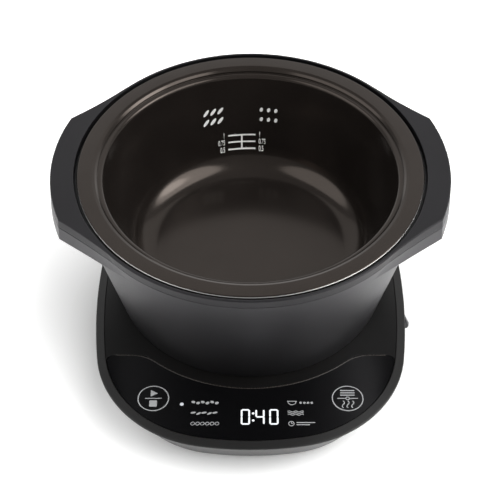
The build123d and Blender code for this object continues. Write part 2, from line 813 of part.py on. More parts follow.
# Boards and what stands on them
def control_board():
    board = span(-control_half_w, control_half_w, control_side_y, control_rear_y, control_under_z, control_top_z)
    board += span(-control_mid_half_w, control_mid_half_w, control_front_y, control_rear_y,
                  control_under_z, control_top_z)
    board &= extrude(base_face(pan_inset(control_under_z) + pan_wall + control_wall_gap, control_under_z), board_t)
    for at in control_screw_places:
        board -= pillar(board_screw_r + loose_gap, control_under_z, control_top_z, at)
    return board


def display_module():
    return block(display_x, display_y, control_top_z, (display_w, display_d, display_h))


def indicator_leds():
    return [pillar(led_r, control_top_z, panel_under_z, at) for at in led_places]


def touch_pads():
    return [pillar(touch_pad_r, control_top_z, panel_under_z, at) for at in touch_places]


def control_screws():
    length = board_t + board_screw_bite - loose_gap
    return [screw(at, control_under_z - board_screw_head_t, board_screw_head_r, board_screw_head_t,
                  board_screw_r - snug_gap, length) for at in control_screw_places]


def power_board():
    board = span(-power_half_w, power_half_w, power_front_y, power_rear_y, power_under_z, power_top_z)
    for at in power_screw_places:
        board -= pillar(board_screw_r + loose_gap, power_under_z, power_top_z, at)
    return board


def power_screws():
    length = board_t + board_screw_bite - loose_gap
    return [screw_down(at, power_top_z, board_screw_head_r, board_screw_head_t, board_screw_r - snug_gap, length)
            for at in power_screw_places]


def power_transformer():
    w, d, h = transformer_size
    body = block(*transformer_at, power_top_z, transformer_size)
    return body + block(*transformer_at, power_top_z, (transformer_core_w, d + 2 * transformer_core_out, h))


def buzzer():
    can = pillar(buzzer_r, power_top_z, power_top_z + buzzer_h, buzzer_at)
    return can - pillar(buzzer_port_r, power_top_z + board_t, power_top_z + buzzer_h, buzzer_at)


plug_w, plug_d, plug_h = connector_size
front_plug_y = power_front_y + connector_inset + plug_d / 2
rear_plug_y = power_rear_y - connector_inset - plug_d / 2
side_plug_x = power_half_w - connector_inset - plug_d / 2
control_plug_y = control_rear_y - connector_inset - plug_d / 2


def board_connectors():
    plugs = [block(x, front_plug_y, power_top_z, connector_size) for x in (ribbon_x, heater_plug_x, -heater_plug_x)]
    plugs.append(block(neutral_plug_x, rear_plug_y, power_top_z, connector_size))
    plugs.append(block(side_plug_x, live_plug_y, power_top_z, (plug_d, plug_w, plug_h)))
    plugs.append(block(ribbon_x, control_plug_y, control_under_z - plug_h, connector_size))
    return plugs


# Mains inlet: flanged socket with a well, three pins and two screws
def across(x, y, z, w, d, h):
    # a box centred in X and Z that runs back along Y from its face at y
    return Pos(x, y - d / 2, z) * Box(w, d, h)


inlet_out_y = inlet_face_y + inlet_flange_t
well_end_y = inlet_out_y - inlet_well_depth
inlet_back_y = inlet_face_y - inlet_body_depth
pin_places = [(-pin_spread, -pin_offset), (0, pin_offset), (pin_spread, -pin_offset)]
pin_tail_y = inlet_back_y - pin_tail


def mains_inlet():
    flange = across(0, inlet_out_y, inlet_z, inlet_flange_w, inlet_flange_t, inlet_flange_h)
    flange = fillet(flange.edges().filter_by(Axis.Y), inlet_flange_round)
    inlet = flange + across(0, inlet_face_y, inlet_z, inlet_body_w, inlet_body_depth, inlet_body_h)
    well = across(0, inlet_out_y, inlet_z, inlet_well_w, inlet_well_depth, inlet_well_h)
    inlet -= chamfer(well.edges().filter_by(Axis.Y).group_by(Axis.Z)[-1], inlet_well_round)
    for x, z in pin_places:
        inlet -= across(x, well_end_y, inlet_z + z, pin_w + 2 * snug_gap, well_end_y - inlet_back_y,
                        pin_h + 2 * snug_gap)
    for side in (1, -1):
        inlet -= Pos(side * inlet_screw_x, inlet_face_y, inlet_z) * Rot(90, 0, 0) * Cylinder(
            inlet_screw_r + loose_gap, 2 * inlet_flange_t)
    return inlet


def inlet_pins():
    return [across(x, well_end_y + pin_reach, inlet_z + z, pin_w, well_end_y + pin_reach - pin_tail_y, pin_h)
            for x, z in pin_places]


def inlet_screws():
    screws = []
    for side in (1, -1):
        form = pillar(inlet_screw_head_r, 0, inlet_screw_head_t)
        form += pillar(inlet_screw_r - snug_gap, -inlet_screw_len, 0)
        screws.append(Pos(side * inlet_screw_x, inlet_out_y, inlet_z) * Rot(-90, 0, 0) * form)
    return screws


# Mains switch: bezelled body with a well, a rocker on a pin, and two tabs
rocker_x = switch_face_x - rocker_pivot_in
rocker_half_h = switch_body_h / 2 - switch_wall - rocker_side_gap
switch_back_x = switch_face_x - switch_body_depth
switch_out_x = switch_face_x + switch_bezel_t
switch_well_half = switch_body_len / 2 - switch_wall
rocker_well_x = rocker_x - hypot(rocker_under, rocker_nose_half) - loose_gap


def switch_body():
    bezel = span(switch_face_x, switch_out_x, switch_y - switch_bezel_len / 2, switch_y + switch_bezel_len / 2,
                 switch_z - switch_bezel_h / 2, switch_z + switch_bezel_h / 2)
    bezel = chamfer(bezel.faces().sort_by(Axis.X)[-1].edges(), switch_bezel_edge)
    body = bezel + span(switch_back_x, switch_face_x, switch_y - switch_body_len / 2, switch_y + switch_body_len / 2,
                        switch_z - switch_body_h / 2, switch_z + switch_body_h / 2)
    half_h = switch_body_h / 2 - switch_wall
    body -= span(rocker_well_x, switch_out_x, switch_y - switch_well_half, switch_y + switch_well_half,
                 switch_z - half_h, switch_z + half_h)
    body -= Pos(rocker_x, switch_y, switch_z) * Cylinder(rocker_pin_r + running_gap, switch_body_h)
    return body


def switch_rocker():
    # seen from above: two shallow flats that meet over the pivot, turned so that the front end stands out
    shoulder = rocker_half_len - rocker_shoulder_in
    outline = FilletPolyline((rocker_end_rise, -rocker_half_len), (rocker_end_rise - rocker_dip, 0),
                             (rocker_end_rise, rocker_half_len), (0, shoulder), (-rocker_under, rocker_nose_half),
                             (-rocker_under, -rocker_nose_half), (0, -shoulder),
                             radius=[rocker_tip_round, rocker_dip_round, rocker_tip_round, 0, 0, 0, 0], close=True)
    rocker = Pos(0, 0, -rocker_half_h) * extrude(make_face(outline), 2 * rocker_half_h)
    flat = rocker_half_h - rocker_crown
    crown = Polyline((-rocker_under, -rocker_half_h), (rocker_end_rise - rocker_crown, -rocker_half_h),
                     (rocker_end_rise, -flat), (rocker_end_rise, flat),
                     (rocker_end_rise - rocker_crown, rocker_half_h), (-rocker_under, rocker_half_h), close=True)
    rocker &= extrude(Plane.XZ * make_face(crown), rocker_half_len, both=True)
    rocker += Cylinder(rocker_pin_r, switch_body_h)
    return Pos(rocker_x, switch_y, switch_z) * Rot(0, 0, rocker_tilt) * rocker


def switch_tab_y(side):
    return switch_y + side * switch_tab_spread


def switch_terminals():
    return [span(switch_back_x - switch_tab_len, switch_back_x, switch_tab_y(side) - switch_tab_t / 2,
                 switch_tab_y(side) + switch_tab_t / 2, switch_z - switch_tab_w / 2, switch_z + switch_tab_w / 2)
            for side in (1, -1)]


# Leads: mains from inlet to switch and board, earth to a heater post, heater legs to the board
plug_z = power_top_z + plug_h / 2
tab_x = switch_back_x - switch_tab_len
live_pin_z = inlet_z - pin_offset
lead_run_x = base_half_w - cover_boss_side_in - 2 * cover_boss_r
pin_turn_y = pin_tail_y - 2 * lead_bend_r


def mains_leads():
    live = lead([(pin_spread, pin_tail_y, live_pin_z), (pin_spread, pin_turn_y, live_pin_z),
                 (lead_run_x - 2 * lead_bend_r, pin_turn_y, live_pin_z),
                 (lead_run_x, power_rear_y, switch_z), (lead_run_x, switch_tab_y(2), switch_z),
                 (tab_x - lead_bend_r, switch_tab_y(1), switch_z), (tab_x, switch_tab_y(1), switch_z)])
    switched_x = (lead_run_x + side_plug_x) / 2
    switched = lead([(tab_x, switch_tab_y(-1), switch_z), (tab_x - 2 * lead_bend_r, switch_tab_y(-1), switch_z),
                     (switched_x, switch_tab_y(2), plug_z), (switched_x, live_plug_y - plug_w, plug_z),
                     (switched_x - lead_r, live_plug_y, plug_z), (side_plug_x + plug_d / 2, live_plug_y, plug_z)])
    neutral = lead([(-pin_spread, pin_tail_y, live_pin_z), (-pin_spread, pin_turn_y, live_pin_z),
                    (neutral_plug_x, pin_turn_y - lead_bend_r, plug_z),
                    (neutral_plug_x, rear_plug_y + plug_d / 2, plug_z)])
    return [live, switched, neutral]


def earth_lead():
    post_y = post_ring_r + post_foot_r
    return Pos(0, (pin_tail_y + post_y) / 2, inlet_z + pin_offset) * Rot(90, 0, 0) * Cylinder(
        lead_r, pin_tail_y - post_y)


def heater_leads():
    wires = []
    for at in element_ends:
        side = 1 if at[0] > 0 else -1
        knee_z = (element_tip_z + plug_z) / 2
        wires.append(lead([(at[0], at[1], element_tip_z), (at[0], at[1], knee_z),
                           (side * heater_plug_x, (at[1] + front_plug_y) / 2, plug_z),
                           (side * heater_plug_x, front_plug_y - plug_d / 2, plug_z)]))
    return wires


def display_ribbon():
    start_y = control_plug_y + plug_d / 2
    end_y = front_plug_y - plug_d / 2
    start_z = control_under_z - plug_h / 2
    third = (end_y - start_y) / 3
    route = [(ribbon_x, start_y, start_z), (ribbon_x, start_y + third, start_z),
             (ribbon_x, end_y - third, plug_z), (ribbon_x, end_y, plug_z)]
    path = FilletPolyline(*route, radius=bends(route, ribbon_bend_r))
    section = Plane(origin=path @ 0, x_dir=(1, 0, 0), z_dir=path % 0) * Rectangle(ribbon_w, ribbon_t)
    return sweep(section, path=path)


# Write every piece
save("inner_pot", inner_pot())
save("handle_ring", handle_ring())
save("pot_gasket", pot_gasket())
save("pot_housing", pot_housing())
save("handle_screws", *handle_screws())
save("foot_ring", foot_ring())
save("heat_liner", heat_liner())
save("base_top_cover", base_top_cover())
save("base_bottom_cover", base_bottom_cover())
save("control_panel", control_panel())
save("cover_screws", *cover_screws())
save("rubber_feet", *rubber_feet())
save("heating_plate", heating_plate())
save("heating_element", heating_element())
save("plate_seal", plate_seal())
save("heater_posts", *heater_posts())
save("heater_screws", *heater_screws())
save("heat_reflector", heat_reflector())
save("sensor_plunger", sensor_plunger())
save("sensor_clip", sensor_clip())
save("sensor_guide", sensor_guide())
save("sensor_spring", sensor_spring())
save("thermal_fuse", thermal_fuse())
save("fuse_clip", fuse_clip())
save("control_board", control_board())
save("display_module", display_module())
save("indicator_leds", *indicator_leds())
save("touch_pads", *touch_pads())
save("control_screws", *control_screws())
save("power_board", power_board())
save("power_screws", *power_screws())
save("power_relay", block(*relay_at, power_top_z, relay_size))
save("power_transformer", power_transformer())
save("filter_capacitor", block(*film_at, power_top_z, film_size))
save("bulk_capacitor", pillar(bulk_r, power_top_z, power_top_z + bulk_h, bulk_at))
save("buzzer", buzzer())
save("board_connectors", *board_connectors())
save("mains_inlet", mains_inlet())
save("inlet_pins", *inlet_pins())
save("inlet_screws", *inlet_screws())
save("switch_body", switch_body())
save("switch_rocker", switch_rocker())
save("switch_terminals", *switch_terminals())
save("mains_leads", *mains_leads())
save("earth_lead", earth_lead())
save("heater_leads", *heater_leads())
save("display_ribbon", display_ribbon())
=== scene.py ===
import bpy
import json
from math import asin, atan, cos, degrees, pi, radians, sin, tan
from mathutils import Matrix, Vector


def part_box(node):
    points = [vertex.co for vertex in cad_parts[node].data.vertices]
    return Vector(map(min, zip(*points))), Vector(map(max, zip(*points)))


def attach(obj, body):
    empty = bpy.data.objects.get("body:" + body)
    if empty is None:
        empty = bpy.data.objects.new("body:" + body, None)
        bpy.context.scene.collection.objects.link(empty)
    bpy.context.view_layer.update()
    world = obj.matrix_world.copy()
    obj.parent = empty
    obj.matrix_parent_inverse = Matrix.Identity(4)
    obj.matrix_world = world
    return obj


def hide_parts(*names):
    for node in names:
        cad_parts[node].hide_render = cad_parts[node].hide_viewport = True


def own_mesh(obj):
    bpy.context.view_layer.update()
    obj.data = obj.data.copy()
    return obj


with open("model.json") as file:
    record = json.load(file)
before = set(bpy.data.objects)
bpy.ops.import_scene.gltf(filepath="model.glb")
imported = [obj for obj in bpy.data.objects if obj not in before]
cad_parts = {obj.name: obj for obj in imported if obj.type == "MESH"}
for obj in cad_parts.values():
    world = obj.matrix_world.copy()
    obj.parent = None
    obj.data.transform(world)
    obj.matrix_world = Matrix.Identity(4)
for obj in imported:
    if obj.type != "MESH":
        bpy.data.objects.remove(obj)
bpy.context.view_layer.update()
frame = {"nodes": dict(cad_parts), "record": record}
nodes = frame["nodes"]
scene = bpy.context.scene
mm = 0.001
potLow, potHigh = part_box("inner_pot")
potY = (potLow.y + potHigh.y) / 2  # the pot's axis stands at x = 0
flangeTop = potHigh.z
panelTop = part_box("control_panel")[1].z
print("frame loaded:", len(nodes), "nodes")


def deselectAll():
    bpy.ops.object.select_all(action="DESELECT")


# finishes: each one is a node material on Object coordinates

noiseSpan = (0.3, 0.7)  # a noise's values lie mostly between these


def startFinish(name):
    finish = bpy.data.materials.new(name)
    finish.use_nodes = True
    return finish, finish.node_tree, finish.node_tree.nodes["Principled BSDF"]


def addNode(tree, kind, **values):
    node = tree.nodes.new(kind)
    for key, value in values.items():
        setattr(node, key, value)
    return node


def objectSpace(tree, stretch=(1, 1, 1), centre=(0, 0, 0), turn=(0, 0, 0)):
    coords = addNode(tree, "ShaderNodeTexCoord")
    mapping = addNode(tree, "ShaderNodeMapping", vector_type="POINT")
    mapping.inputs["Location"].default_value = [-c * s for c, s in zip(centre, stretch)]
    mapping.inputs["Rotation"].default_value = turn
    mapping.inputs["Scale"].default_value = stretch
    tree.links.new(coords.outputs["Object"], mapping.inputs["Vector"])
    return mapping.outputs["Vector"]


def addNoise(tree, space, scale, detail=3.0, rough=0.55):
    noise = addNode(tree, "ShaderNodeTexNoise")
    noise.inputs["Scale"].default_value = scale
    noise.inputs["Detail"].default_value = detail
    noise.inputs["Roughness"].default_value = rough
    tree.links.new(space, noise.inputs["Vector"])
    return noise.outputs["Fac"]


def addTones(tree, source, dark, light, span=noiseSpan):
    ramp = addNode(tree, "ShaderNodeValToRGB")
    for element, at, colour in zip(ramp.color_ramp.elements, span, (dark, light)):
        element.position = at
        element.color = (*colour, 1)
    tree.links.new(source, ramp.inputs["Fac"])
    return ramp.outputs["Color"]


def addRange(tree, source, ends, span=noiseSpan):
    change = addNode(tree, "ShaderNodeMapRange")
    for key, value in zip(("From Min", "From Max", "To Min", "To Max"), (*span, *ends)):
        change.inputs[key].default_value = value
    tree.links.new(source, change.inputs["Value"])
    return change.outputs["Result"]


def addBump(tree, shader, height, look):
    bump = addNode(tree, "ShaderNodeBump")
    bump.inputs["Strength"].default_value = look["bump"]
    bump.inputs["Distance"].default_value = look["depth"]
    tree.links.new(height, bump.inputs["Height"])
    if "edge" in look:  # sharp edges shade as if rounded
        soft = addNode(tree, "ShaderNodeBevel", samples=4)
        soft.inputs["Radius"].default_value = look["edge"]
        tree.links.new(soft.outputs["Normal"], bump.inputs["Normal"])
    tree.links.new(bump.outputs["Normal"], shader.inputs["Normal"])


def setShader(shader, values):
    for key, value in values.items():
        shader.inputs[key].default_value = value


# moulded, cast and drawn finishes that differ only in their numbers
grainFinishes = {
    "housing_plastic": {"dark": (0.0040, 0.0039, 0.0042), "light": (0.0054, 0.0053, 0.0057), "grain": 2600,
                        "gloss": 0.58, "tint": (0.96, 0.93, 1.0), "rough": (0.36, 0.44), "bump": 0.10,
                        "depth": 0.00006, "edge": 0.0009},
    "base_plastic": {"dark": (0.0030, 0.0028, 0.0027), "light": (0.0042, 0.0039, 0.0038), "grain": 2200,
                     "gloss": 0.38, "rough": (0.32, 0.40), "bump": 0.08, "depth": 0.00005, "edge": 0.0005},
    "silicone": {"dark": (0.018, 0.018, 0.019), "light": (0.026, 0.026, 0.027), "grain": 900,
                 "rough": (0.55, 0.66), "bump": 0.12, "depth": 0.0001, "edge": 0.0004},
    "foot_rubber": {"dark": (0.010, 0.010, 0.010), "light": (0.016, 0.016, 0.016), "grain": 1500,
                    "rough": (0.7, 0.82), "bump": 0.25, "depth": 0.0001, "edge": 0.0005},
    "component_black": {"dark": (0.009, 0.009, 0.010), "light": (0.014, 0.014, 0.015), "grain": 1800,
                        "rough": (0.40, 0.52), "bump": 0.12, "depth": 0.00008, "edge": 0.0003},
    "component_yellow": {"dark": (0.55, 0.34, 0.04), "light": (0.66, 0.43, 0.06), "grain": 500,
                         "rough": (0.34, 0.44), "bump": 0.06, "depth": 0.0001, "edge": 0.0003},
    "connector_white": {"dark": (0.70, 0.68, 0.62), "light": (0.78, 0.76, 0.71), "grain": 700,
                        "rough": (0.40, 0.5), "bump": 0.05, "depth": 0.0001, "edge": 0.0002},
    "inlet_plastic": {"dark": (0.011, 0.011, 0.012), "light": (0.016, 0.016, 0.017), "grain": 2400,
                      "rough": (0.42, 0.5), "bump": 0.12, "depth": 0.00006, "edge": 0.0004},
    "rocker_plastic": {"dark": (0.014, 0.014, 0.015), "light": (0.018, 0.018, 0.019), "grain": 1600,
                       "rough": (0.24, 0.3), "bump": 0.04, "depth": 0.00005, "edge": 0.0004},
    "lead_cover": {"dark": (0.16, 0.03, 0.02), "light": (0.20, 0.04, 0.03), "grain": 1200,
                   "rough": (0.36, 0.44), "bump": 0.05, "depth": 0.00008},
    "screw_steel": {"dark": (0.42, 0.42, 0.41), "light": (0.55, 0.55, 0.53), "grain": 1400, "metal": 1.0,
                    "rough": (0.26, 0.36), "bump": 0.06, "depth": 0.00004, "edge": 0.0002},
    "fuse_tin": {"dark": (0.62, 0.61, 0.58), "light": (0.72, 0.71, 0.68), "grain": 900, "metal": 1.0,
                 "rough": (0.22, 0.32), "bump": 0.04, "depth": 0.00004},
    "pin_brass": {"dark": (0.62, 0.45, 0.20), "light": (0.72, 0.54, 0.26), "grain": 1100, "metal": 1.0,
                  "rough": (0.2, 0.3), "bump": 0.04, "depth": 0.00004, "edge": 0.0002},
    "element_steel": {"dark": (0.20, 0.17, 0.15), "light": (0.34, 0.31, 0.28), "grain": 160, "metal": 1.0,
                      "rough": (0.38, 0.52), "bump": 0.06, "depth": 0.00008},
    "liner_aluminium": {"dark": (0.70, 0.70, 0.70), "light": (0.80, 0.80, 0.80), "grain": 300, "metal": 1.0,
                        "stretch": (1, 1, 14), "rough": (0.28, 0.42), "bump": 0.05, "depth": 0.00005},
}
# the handle ring is a duller moulding than the housing, and the panel's trim line a shinier one whose lighter brown
# is a painted highlight of the deck's edge
ringPlastic = {**grainFinishes["housing_plastic"], "gloss": 0.31, "rough": (0.40, 0.48)}
# trim line colours: a lighter brown than the deck, a painted highlight along the deck's edge at the panel
trimHighlight = {"dark": (0.018, 0.015, 0.013), "light": (0.025, 0.021, 0.018), "grain": 1200,
             "rough": (0.24, 0.3), "bump": 0.04, "depth": 0.00003}
broadTones = {"wider": 60, "detail": 2.0}  # the tones change this much more broadly than the grain


def grainFinish(name, look):
    finish, tree, shader = startFinish(name)
    space = objectSpace(tree, look.get("stretch", (1, 1, 1)))
    fine = addNoise(tree, space, look["grain"])
    broad = addNoise(tree, space, look["grain"] / broadTones["wider"], broadTones["detail"])
    tree.links.new(addTones(tree, broad, look["dark"], look["light"]), shader.inputs["Base Color"])
    tree.links.new(addRange(tree, fine, look["rough"]), shader.inputs["Roughness"])
    addBump(tree, shader, fine, look)
    setShader(shader, {"Metallic": look.get("metal", 0.0), "Specular IOR Level": look.get("gloss", 0.5),
                       "Specular Tint": (*look.get("tint", (1, 1, 1)), 1)})
    return finish


# satin brown-black coat with fine flakes in it
potCoat = {"dark": (0.0078, 0.0063, 0.0056), "light": (0.0104, 0.0086, 0.0076), "toneScale": 45,
           "flake": (0.028, 0.022, 0.018), "flakeScale": 2600, "flakeSpan": (0.05, 0.22),
           "grain": 1800, "rough": (0.14, 0.18), "bump": 0.05, "depth": 0.00004,
           "tint": (1.0, 0.85, 0.75), "gloss": 0.42}


def potCoatFinish(name, look):
    finish, tree, shader = startFinish(name)
    space = objectSpace(tree)
    ground = addTones(tree, addNoise(tree, space, look["toneScale"]), look["dark"], look["light"])
    cells = addNode(tree, "ShaderNodeTexVoronoi")
    cells.inputs["Scale"].default_value = look["flakeScale"]
    tree.links.new(space, cells.inputs["Vector"])
    mix = addNode(tree, "ShaderNodeMix", data_type="RGBA")
    flakes = addRange(tree, cells.outputs["Distance"], (1.0, 0.0), look["flakeSpan"])
    tree.links.new(flakes, mix.inputs["Factor"])
    tree.links.new(ground, mix.inputs["A"])
    mix.inputs["B"].default_value = (*look["flake"], 1)
    tree.links.new(mix.outputs["Result"], shader.inputs["Base Color"])
    fine = addNoise(tree, space, look["grain"])
    tree.links.new(addRange(tree, fine, look["rough"]), shader.inputs["Roughness"])
    addBump(tree, shader, fine, look)
    setShader(shader, {"Specular Tint": (*look["tint"], 1), "Specular IOR Level": look["gloss"]})
    return finish


# black glass-like sheet, with faint wipe marks in its gloss
panelGloss = {"black": (0.0012, 0.0012, 0.0014), "wiped": 1.3, "toneSpan": (0.2, 0.8), "rough": (0.045, 0.075),
              "wipeScale": 60, "wipeDetail": 5.0, "wipeStretch": (1, 2.5, 1), "wipeTurn": 20,
              "ior": 1.5, "coat": 0.3, "coatRough": 0.04}


def panelGlossFinish(name, look):
    finish, tree, shader = startFinish(name)
    space = objectSpace(tree, look["wipeStretch"], turn=(0, 0, radians(look["wipeTurn"])))
    wipes = addNoise(tree, space, look["wipeScale"], look["wipeDetail"])
    tree.links.new(addRange(tree, wipes, look["rough"]), shader.inputs["Roughness"])
    wiped = [c * look["wiped"] for c in look["black"]]
    tree.links.new(addTones(tree, wipes, look["black"], wiped, look["toneSpan"]), shader.inputs["Base Color"])
    setShader(shader, {"IOR": look["ior"], "Coat Weight": look["coat"], "Coat Roughness": look["coatRough"]})
    return finish


# cast plate with turned rings about the pot's axis
plateAluminium = {"dark": (0.56, 0.56, 0.55), "light": (0.76, 0.76, 0.75), "stainScale": 60, "stainDetail": 4.0,
                  "rings": 420, "ringWander": 1.2, "ringDetail": 2, "centre": (0, potY, 0),
                  "rough": (0.26, 0.42), "bump": 0.25, "depth": 0.00005, "edge": 0.0004}


def plateAluminiumFinish(name, look):
    finish, tree, shader = startFinish(name)
    space = objectSpace(tree, centre=look["centre"])
    rings = addNode(tree, "ShaderNodeTexWave", wave_type="RINGS", rings_direction="Z", wave_profile="SIN")
    rings.inputs["Scale"].default_value = look["rings"]
    rings.inputs["Distortion"].default_value = look["ringWander"]
    rings.inputs["Detail"].default_value = look["ringDetail"]
    tree.links.new(space, rings.inputs["Vector"])
    stain = addNoise(tree, space, look["stainScale"], look["stainDetail"])
    tree.links.new(addTones(tree, stain, look["dark"], look["light"]), shader.inputs["Base Color"])
    ringRough = addRange(tree, rings.outputs["Fac"], look["rough"], (0.0, 1.0))
    tree.links.new(ringRough, shader.inputs["Roughness"])
    addBump(tree, shader, rings.outputs["Fac"], look)
    setShader(shader, {"Metallic": 1.0})
    return finish


# solder mask over copper runs
circuitBoard = {"mask": (0.012, 0.10, 0.035), "maskDim": 0.85, "trace": (0.03, 0.17, 0.07), "traceWidth": 0.06,
                "pitch": 420, "grain": 900, "rough": (0.28, 0.38), "bump": 0.2, "depth": 0.00003}


def circuitBoardFinish(name, look):
    finish, tree, shader = startFinish(name)
    space = objectSpace(tree)
    runs = addNode(tree, "ShaderNodeTexBrick")
    runs.inputs["Scale"].default_value = look["pitch"]
    runs.inputs["Mortar Size"].default_value = look["traceWidth"]
    runs.inputs["Color1"].default_value = (*look["mask"], 1)
    runs.inputs["Color2"].default_value = (*[c * look["maskDim"] for c in look["mask"]], 1)
    runs.inputs["Mortar"].default_value = (*look["trace"], 1)
    tree.links.new(space, runs.inputs["Vector"])
    tree.links.new(runs.outputs["Color"], shader.inputs["Base Color"])
    fine = addNoise(tree, space, look["grain"])
    tree.links.new(addRange(tree, fine, look["rough"]), shader.inputs["Roughness"])
    addBump(tree, shader, runs.outputs["Fac"], look)
    return finish


# two colours in bands, as on a lead or a flat cable
earthCover = {"first": (0.03, 0.22, 0.05), "second": (0.75, 0.6, 0.03), "bands": 60, "way": "DIAGONAL",
              "bandEdge": (0.45, 0.55), "grain": 900, "rough": (0.36, 0.44), "bump": 0.1, "depth": 0.00005}
ribbonGrey = {"first": (0.30, 0.30, 0.31), "second": (0.36, 0.36, 0.37), "bands": 130, "way": "X",
              "bandEdge": (0.45, 0.55), "grain": 900, "rough": (0.4, 0.5), "bump": 0.1, "depth": 0.00005}


def stripeFinish(name, look):
    finish, tree, shader = startFinish(name)
    space = objectSpace(tree)
    bands = addNode(tree, "ShaderNodeTexWave", wave_type="BANDS", bands_direction=look["way"])
    bands.inputs["Scale"].default_value = look["bands"]
    tree.links.new(space, bands.inputs["Vector"])
    colour = addTones(tree, bands.outputs["Fac"], look["first"], look["second"], look["bandEdge"])
    tree.links.new(colour, shader.inputs["Base Color"])
    fine = addNoise(tree, space, look["grain"])
    tree.links.new(addRange(tree, fine, look["rough"]), shader.inputs["Roughness"])
    addBump(tree, shader, bands.outputs["Fac"], look)
    return finish


# lit diffusers over a smoky ground
displayLit = {"colour": (0.94, 0.97, 1.0), "strength": 1.05, "grain": 1500, "dim": 0.9, "smoke": (0.12, 0.16),
              "rough": 0.4}
lampLit = {**displayLit, "colour": (0.90, 0.94, 1.0), "strength": 0.6}


def litFinish(name, look):
    finish, tree, shader = startFinish(name)
    grain = addNoise(tree, objectSpace(tree), look["grain"])
    dimmed, darkSmoke, lightSmoke = [[c * share for c in look["colour"]] for share in (look["dim"], *look["smoke"])]
    tree.links.new(addTones(tree, grain, dimmed, look["colour"]), shader.inputs["Emission Color"])
    tree.links.new(addTones(tree, grain, darkSmoke, lightSmoke), shader.inputs["Base Color"])
    setShader(shader, {"Emission Strength": look["strength"], "Roughness": look["rough"]})
    return finish


# screen-printed ink, a little uneven
printInk = {"dark": (0.28, 0.285, 0.29), "light": (0.33, 0.335, 0.34), "grain": 2500, "rough": (0.45, 0.6)}
scaleInk = {**printInk, "dark": (0.66, 0.66, 0.64), "light": (0.76, 0.76, 0.74)}


def inkFinish(name, look):
    finish, tree, shader = startFinish(name)
    grain = addNoise(tree, objectSpace(tree), look["grain"])
    tree.links.new(addTones(tree, grain, look["dark"], look["light"]), shader.inputs["Base Color"])
    tree.links.new(addRange(tree, grain, look["rough"]), shader.inputs["Roughness"])
    return finish


# finishes by the record's slots, and four more for single pieces
finishes = {name: grainFinish(name + "_look", look) for name, look in grainFinishes.items()}
finishes["pot_coat"] = potCoatFinish("pot_coat_look", potCoat)
finishes["panel_gloss"] = panelGlossFinish("panel_gloss_look", panelGloss)
finishes["plate_aluminium"] = plateAluminiumFinish("plate_aluminium_look", plateAluminium)
finishes["circuit_board"] = circuitBoardFinish("circuit_board_look", circuitBoard)
finishes["earth_cover"] = stripeFinish("earth_cover_look", earthCover)
finishes["ribbon_grey"] = stripeFinish("ribbon_grey_look", ribbonGrey)
finishes["display_lit"] = litFinish("display_lit_look", displayLit)
finishes["lamp_lit"] = litFinish("lamp_lit_look", lampLit)
printFinish = inkFinish("print_ink_look", printInk)
scaleFinish = inkFinish("scale_ink_look", scaleInk)
trimHighlightFinish = grainFinish("trim_gloss_look", trimHighlight)
ringFinish = grainFinish("ring_plastic_look", ringPlastic)

slotOfNode = {}
for row in frame["record"]["materials"]:
    for nodeName in row.get("nodes", []):
        slotOfNode[nodeName] = row["slot"]
for nodeName, node in nodes.items():
    slotName = slotOfNode.get(nodeName) or node.material_slots[0].material.name.split(".")[0]
    for place in node.material_slots:
        place.material = finishes[slotName]
nodes["handle_ring"].material_slots[0].material = ringFinish
print("finishes set:", len(finishes))


# modelling helpers: a piece is started from a primitive, shaped, joined, and settled on its body

def editStart():
    bpy.ops.object.mode_set(mode="EDIT")
    bpy.ops.mesh.select_all(action="SELECT")


def editEnd():
    bpy.ops.object.mode_set(mode="OBJECT")


def onlySelect(piece):
    deselectAll()
    piece.select_set(True)
    bpy.context.view_layer.objects.active = piece


def applyPlace(piece):
    onlySelect(piece)
    bpy.ops.object.transform_apply(location=True, rotation=True, scale=True)


def applyModifier(piece, kind, **values):
    onlySelect(piece)
    modifier = piece.modifiers.new(kind.lower(), kind)
    for key, value in values.items():
        setattr(modifier, key, value)
    bpy.ops.object.modifier_apply(modifier=modifier.name)


def joinAll(shapes):
    for shape in shapes:
        applyPlace(shape)
    deselectAll()
    for shape in shapes:
        shape.select_set(True)
    bpy.context.view_layer.objects.active = shapes[0]
    if len(shapes) > 1:
        bpy.ops.object.join()
    return bpy.context.object


def settle(piece, name, body, finish):
    applyPlace(piece)
    piece.name = name
    piece.data.name = name
    piece.data.materials.clear()
    piece.data.materials.append(finish)
    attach(piece, body)
    return piece


# outlines of (radius, drop below the centre, rounding) are softened at their corners and spun about an upright axis

spinning = {"cornerSteps": 8, "weld": 0.002, "smooth": 30}


def softOutline(corners, steps):
    points = []
    for i, (r, drop, rounding) in enumerate(corners):
        here = Vector((r, -drop))
        if not rounding:
            points.append(here)
            continue
        before = (Vector((corners[i - 1][0], -corners[i - 1][1])) - here).normalized()
        after = (Vector((corners[i + 1][0], -corners[i + 1][1])) - here).normalized()
        half = before.angle(after) / 2
        middle = here + (before + after).normalized() * rounding / sin(half)
        start = here + before * rounding / tan(half) - middle
        sweep = start.angle_signed(here + after * rounding / tan(half) - middle)
        for k in range(steps + 1):
            turn = -sweep * k / steps
            points.append(middle + Vector((start.x * cos(turn) - start.y * sin(turn),
                                           start.x * sin(turn) + start.y * cos(turn))))
    return points


